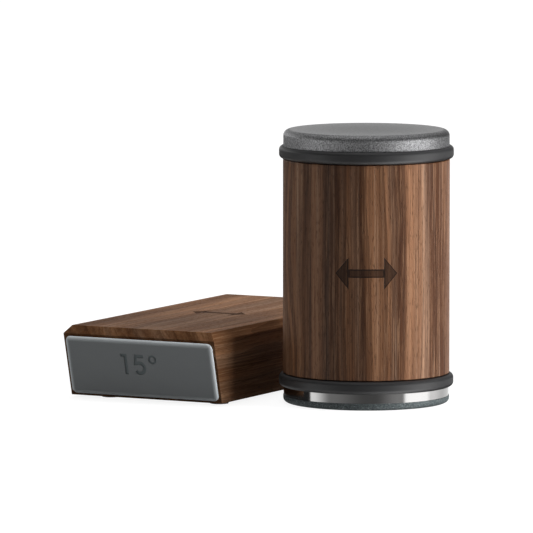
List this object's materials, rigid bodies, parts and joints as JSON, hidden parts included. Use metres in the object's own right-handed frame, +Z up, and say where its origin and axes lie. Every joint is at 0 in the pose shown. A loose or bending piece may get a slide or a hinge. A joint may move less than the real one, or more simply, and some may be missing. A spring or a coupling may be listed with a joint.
{
  "type": "rolling knife sharpener",
  "caption": "Wood-gripped roller with a diamond disc below and a honing disc on top, on rubber rings, standing beside a magnetic wooden angle guide with silicone pads.",
  "frame": {"origin": "centre of the roller's lower face, on the table", "axes": "+Z up the roller's axle; +Y along the angle guide, from its 15 degree end to its 20 degree end; the guide lies on the -X side of the roller"},
  "size_m": [0.1257, 0.1189, 0.0935],
  "materials": {
    "walnut": "oiled, open grain",
    "ring_rubber": "smooth satin",
    "polished_steel": "polished",
    "blasted_steel": "fine blasted",
    "diamond_grit": "fine diamond grit",
    "hub_aluminium": "turned, grey anodised",
    "axle_steel": "ground",
    "nut_steel": "zinc plated",
    "liner_aluminium": "drawn",
    "bush_bronze": "sintered bronze",
    "pad_silicone": "matt silicone",
    "magnet_nickel": "nickel plated",
    "foot_rubber": "matt"
  },
  "bodies": {
    "guide": {"guide_block": "walnut", "steep_pad": "pad_silicone", "flat_pad": "pad_silicone", "steep_pad_magnets": "magnet_nickel", "flat_pad_magnets": "magnet_nickel", "steep_end_far_foot": "foot_rubber", "steep_end_near_foot": "foot_rubber", "flat_end_far_foot": "foot_rubber", "flat_end_near_foot": "foot_rubber"},
    "diamond_disc": {"diamond_disc_carrier": "polished_steel", "diamond_plate": "diamond_grit"},
    "wheelset": {"axle": "axle_steel", "lower_hub": "hub_aluminium", "upper_hub": "hub_aluminium", "lower_hub_nut": "nut_steel", "upper_hub_nut": "nut_steel", "lower_roll_ring": "ring_rubber", "upper_roll_ring": "ring_rubber"},
    "grip": {"grip_barrel": "walnut", "core_tube": "liner_aluminium", "lower_bush": "bush_bronze", "upper_bush": "bush_bronze"},
    "top_disc": {"honing_disc": "blasted_steel"}
  },
  "joints": [
    {"name": "roller_lift", "type": "slide", "parent": "guide", "child": "diamond_disc", "axis": [0, 0, 1], "range_m": [0, 0.12]},
    {"name": "diamond_disc_release", "type": "slide", "parent": "diamond_disc", "child": "wheelset", "axis": [0, 0, 1], "range_m": [0, 0.012]},
    {"name": "honing_disc_release", "type": "slide", "parent": "wheelset", "child": "top_disc", "axis": [0, 0, 1], "range_m": [0, 0.025]},
    {"name": "grip_spin", "type": "hinge", "parent": "wheelset", "child": "grip", "pos_m": [0, 0, 0.0468], "axis": [0, 0, 1], "continuous": true}
  ]
}
